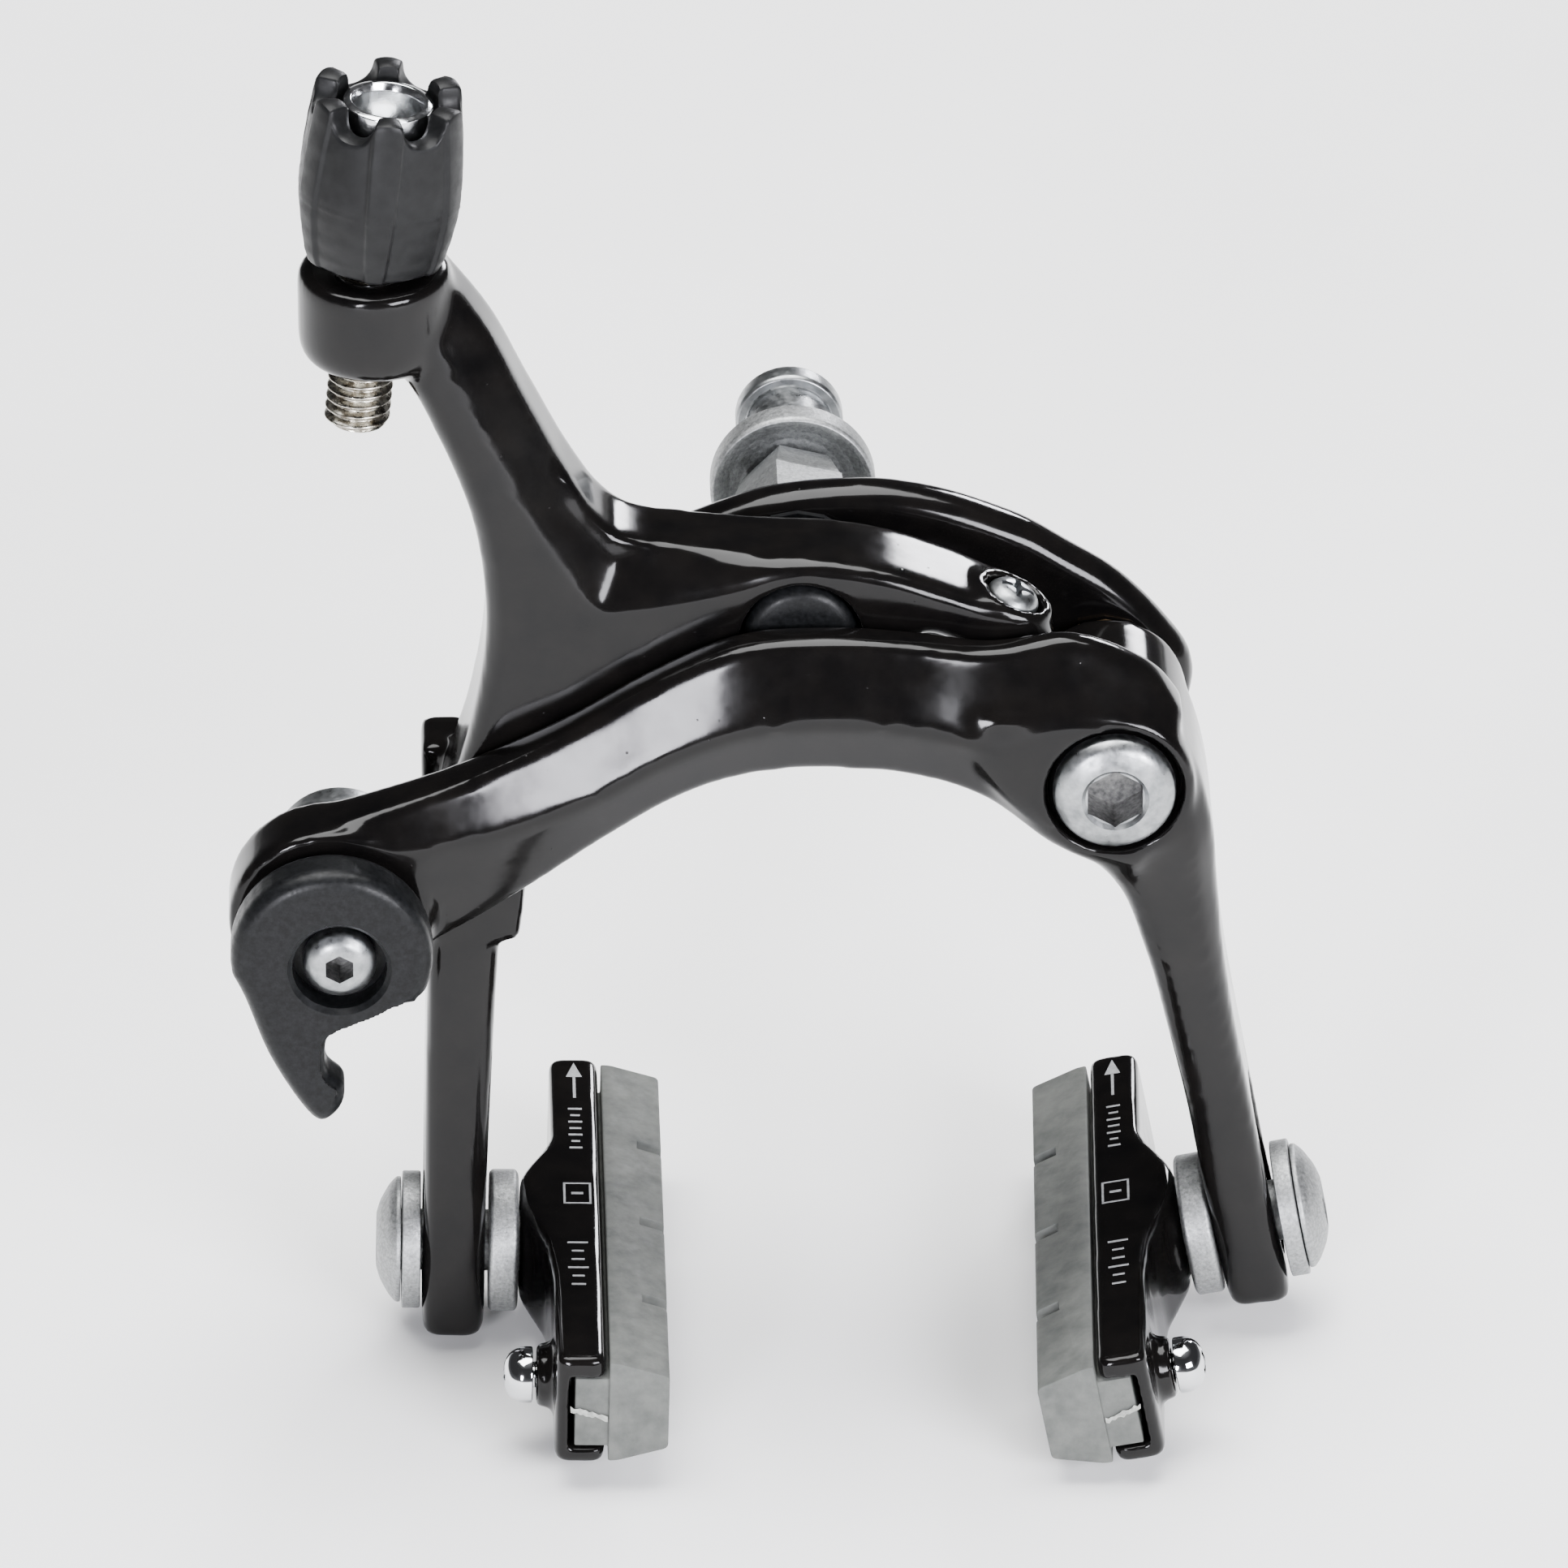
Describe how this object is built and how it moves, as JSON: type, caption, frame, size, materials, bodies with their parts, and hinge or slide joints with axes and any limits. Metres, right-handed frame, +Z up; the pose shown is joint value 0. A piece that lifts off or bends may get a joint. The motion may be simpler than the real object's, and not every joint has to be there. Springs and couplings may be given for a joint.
{
  "type": "bicycle rim brake caliper",
  "caption": "Dual-pivot side-pull bicycle brake caliper with two curved arms, a cable adjuster, a quick-release lever and cartridge brake shoes on slotted legs.",
  "frame": {"origin": "on the mounting bolt's axis, at the flat rear face of the concave washer", "axes": "+Y along the mounting bolt towards the bicycle frame, +Z up away from the wheel, +X towards the side pivot"},
  "size_m": [0.1016, 0.0678, 0.1294],
  "materials": {
    "gloss_black_paint": "gloss black paint on forged aluminium",
    "black_plastic": "satin black moulded plastic",
    "zinc_plated_steel": "satin zinc-plated steel",
    "blasted_aluminium": "fine bead-blasted aluminium",
    "chromed_steel": "polished chrome",
    "bronze_bush": "plain turned bronze",
    "spring_steel": "dark smooth spring wire",
    "grey_pad_compound": "matte grey moulded brake compound"
  },
  "bodies": {
    "mount_group": {"mounting_bolt": "zinc_plated_steel", "bolt_spacer": "blasted_aluminium", "concave_washer": "blasted_aluminium", "recessed_nut": "zinc_plated_steel", "pivot_bracket": "gloss_black_paint", "rear_thrust_washer": "bronze_bush", "centre_bush": "bronze_bush", "front_thrust_washer": "bronze_bush", "centre_cap_nut": "zinc_plated_steel", "side_pivot_bolt": "zinc_plated_steel", "side_bush": "bronze_bush", "side_thrust_washer": "bronze_bush", "return_spring": "spring_steel", "spring_holder": "black_plastic"},
    "left_arm_group": {"left_arm": "gloss_black_paint"},
    "right_arm_group": {"right_arm": "gloss_black_paint", "qr_bolt": "zinc_plated_steel", "cable_clamp_washer": "zinc_plated_steel", "cable_anchor_nut": "zinc_plated_steel"},
    "qr_lever_group": {"qr_lever": "black_plastic", "qr_cam": "spring_steel"},
    "barrel_group": {"adjuster_barrel": "blasted_aluminium"},
    "knob_group": {"adjuster_knob": "black_plastic"},
    "centring_screw_group": {"centring_screw": "zinc_plated_steel"},
    "left_bolt_group": {"left_pad_bolt": "zinc_plated_steel", "left_outer_washer": "blasted_aluminium", "left_inner_washer": "blasted_aluminium"},
    "right_bolt_group": {"right_pad_bolt": "zinc_plated_steel", "right_outer_washer": "blasted_aluminium", "right_inner_washer": "blasted_aluminium"},
    "left_shoe_group": {"left_pad_holder": "gloss_black_paint", "left_pad_insert": "grey_pad_compound", "left_pad_screw": "chromed_steel"},
    "right_shoe_group": {"right_pad_holder": "gloss_black_paint", "right_pad_insert": "grey_pad_compound", "right_pad_screw": "chromed_steel"}
  },
  "joints": [
    {"name": "left_arm_swing", "type": "hinge", "parent": "mount_group", "child": "left_arm_group", "pos_m": [0, -0.025, 0], "axis": [0, -1, 0], "range_deg": [0, 7], "stiffness_Nm_per_rad": 1, "springref_deg": -17.19, "deforming": ["return_spring"]},
    {"name": "right_arm_swing", "type": "hinge", "parent": "mount_group", "child": "right_arm_group", "pos_m": [0.0282, -0.025, -0.012], "axis": [0, 1, 0], "range_deg": [0, 8.5], "stiffness_Nm_per_rad": 1, "springref_deg": -17.19, "deforming": ["return_spring"]},
    {"name": "qr_lever_turn", "type": "hinge", "parent": "right_arm_group", "child": "qr_lever_group", "pos_m": [-0.0422, -0.038, -0.026], "axis": [0, 1, 0], "range_deg": [0, 90]},
    {"name": "knob_turn", "type": "hinge", "parent": "left_arm_group", "child": "knob_group", "pos_m": [-0.0388, -0.025, 0.0318], "axis": [0.1011, 0, 0.9949], "range_deg": [0, 2160]},
    {"name": "barrel_slide", "type": "slide", "parent": "left_arm_group", "child": "barrel_group", "axis": [0.1011, 0, 0.9949], "range_m": [0, 0.0061]},
    {"name": "centring_screw_turn", "type": "hinge", "parent": "left_arm_group", "child": "centring_screw_group", "pos_m": [0.0194, -0.027, 0.0022], "axis": [0.4226, 0, 0.9063], "range_deg": [-360, 360]},
    {"name": "left_shoe_height", "type": "slide", "parent": "left_arm_group", "child": "left_bolt_group", "axis": [0.0262, 0, 0.9997], "range_m": [0, 0.011]},
    {"name": "right_shoe_height", "type": "slide", "parent": "right_arm_group", "child": "right_bolt_group", "axis": [-0.1874, 0, 0.9823], "range_m": [0, 0.011]},
    {"name": "left_shoe_tilt", "type": "hinge", "parent": "left_bolt_group", "child": "left_shoe_group", "pos_m": [-0.0321, -0.025, -0.0668], "axis": [0.9997, 0, -0.0262], "range_deg": [-10, 10]},
    {"name": "right_shoe_tilt", "type": "hinge", "parent": "right_bolt_group", "child": "right_shoe_group", "pos_m": [0.0417, -0.025, -0.0653], "axis": [0.9823, 0, 0.1874], "range_deg": [-10, 10]}
  ],
  "couplings": [
    {"joint": "right_arm_swing", "follows": "left_arm_swing", "ratio": 1.2},
    {"joint": "barrel_slide", "follows": "knob_turn", "m_per_rad": 0.00015915}
  ]
}
